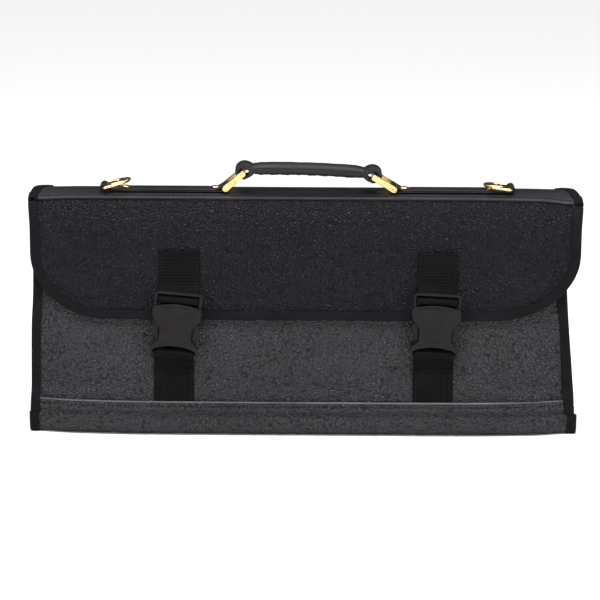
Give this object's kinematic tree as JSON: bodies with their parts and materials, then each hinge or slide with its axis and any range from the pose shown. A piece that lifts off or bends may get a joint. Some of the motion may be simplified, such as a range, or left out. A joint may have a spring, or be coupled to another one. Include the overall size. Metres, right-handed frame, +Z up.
{
  "type": "chef knife roll",
  "caption": "Leather knife roll folded shut, with a deep rounded flap held by webbing straps and side-release buckles, a rolled carrying handle and swivelling D rings.",
  "frame": {"origin": "middle of the foot's flat underside, on the surface that the roll stands on", "axes": "+X along the roll's length to the right as seen from the front, -Y out of the front where the buckles are, +Z up"},
  "size_m": [0.5248, 0.0857, 0.2632],
  "materials": {
    "leather": "pebbled black leather, satin",
    "smooth_leather": "fine-grained black leather, satin",
    "tape": "woven black binding tape, matt",
    "webbing": "woven black webbing, matt",
    "plastic": "moulded black plastic, fine texture",
    "brass": "polished brass plating, lightly worn"
  },
  "bodies": {
    "roll": {"front_panel": "leather", "foot_band": "leather", "back_panel": "leather", "top_band": "smooth_leather", "flap": "leather", "end_binding_left": "tape", "end_binding_right": "tape", "flap_binding": "tape", "top_strap_left": "smooth_leather", "top_strap_right": "smooth_leather", "rivet_left_outer": "brass", "rivet_left_inner": "brass", "rivet_right_outer": "brass", "rivet_right_inner": "brass", "handle_ring_left": "brass", "handle_ring_right": "brass", "handle": "smooth_leather", "buckle_socket_left": "plastic", "buckle_socket_right": "plastic", "buckle_plug_left": "plastic", "buckle_plug_right": "plastic", "flap_webbing_left": "webbing", "flap_webbing_right": "webbing", "foot_webbing_left": "webbing", "foot_webbing_right": "webbing"},
    "d_ring_left": {"d_ring_left": "brass"},
    "d_ring_right": {"d_ring_right": "brass"}
  },
  "joints": [
    {"name": "d_ring_left_swing", "type": "hinge", "parent": "roll", "child": "d_ring_left", "pos_m": [-0.18995, -0.007, 0.2385], "axis": [0, -1, 0], "range_deg": [-8, 160]},
    {"name": "d_ring_right_swing", "type": "hinge", "parent": "roll", "child": "d_ring_right", "pos_m": [0.1944, -0.007, 0.2385], "axis": [0, 1, 0], "range_deg": [-1, 168]}
  ]
}
